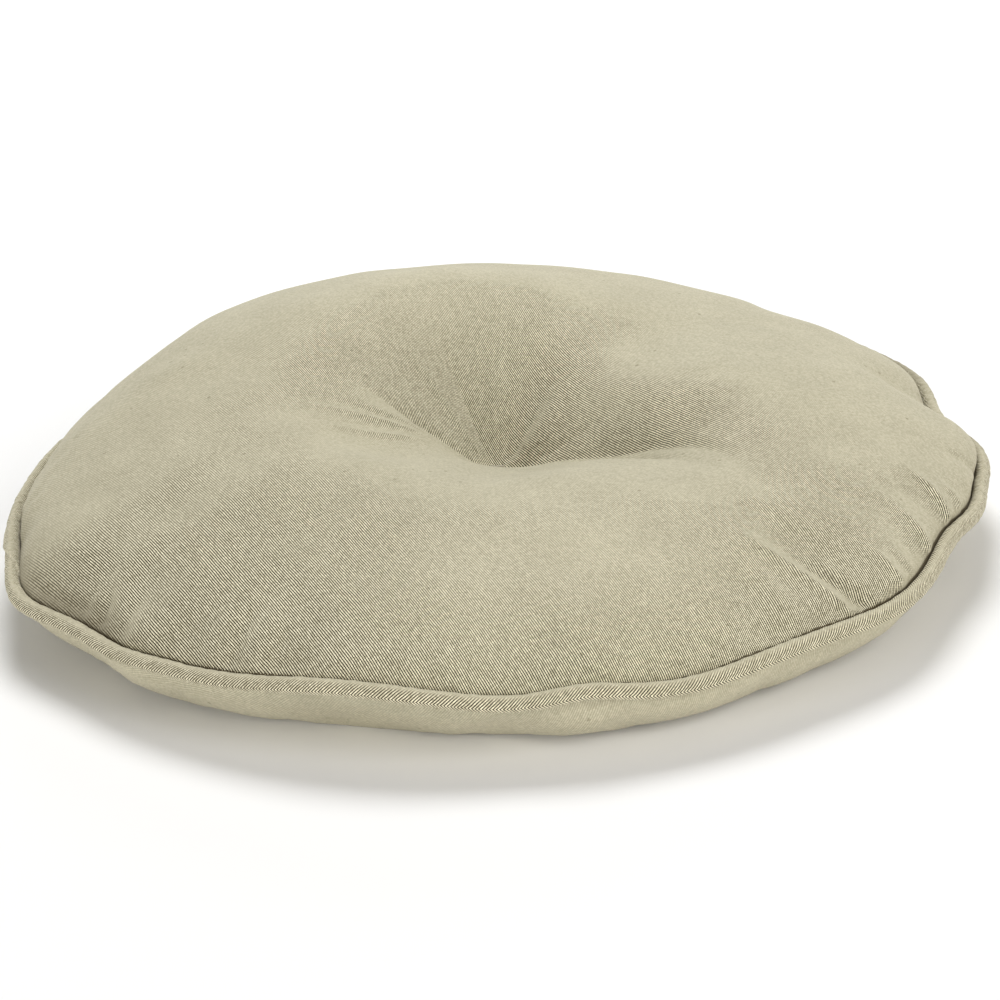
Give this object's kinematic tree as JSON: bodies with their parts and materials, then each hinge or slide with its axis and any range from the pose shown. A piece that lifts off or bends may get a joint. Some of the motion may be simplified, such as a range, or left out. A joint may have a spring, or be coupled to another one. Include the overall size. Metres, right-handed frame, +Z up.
{
  "type": "round tufted seat cushion",
  "caption": "Round knife-edge seat cushion in woven cloth, with a welt round its seam and one tuft that draws the middle down.",
  "frame": {"origin": "middle of the cushion's outer size in X and Y, on the surface that it lies on", "axes": "+Z up through the crown, -Y towards the viewer of the picture"},
  "size_m": [0.4028, 0.4078, 0.0887],
  "materials": {
    "panel_cloth": "matte heathered plain weave in oatmeal",
    "welt_cloth": "matte heathered plain weave in oatmeal, cut on the bias"
  },
  "bodies": {
    "root": {"cushion": "panel_cloth", "welt": "welt_cloth"}
  },
  "joints": []
}
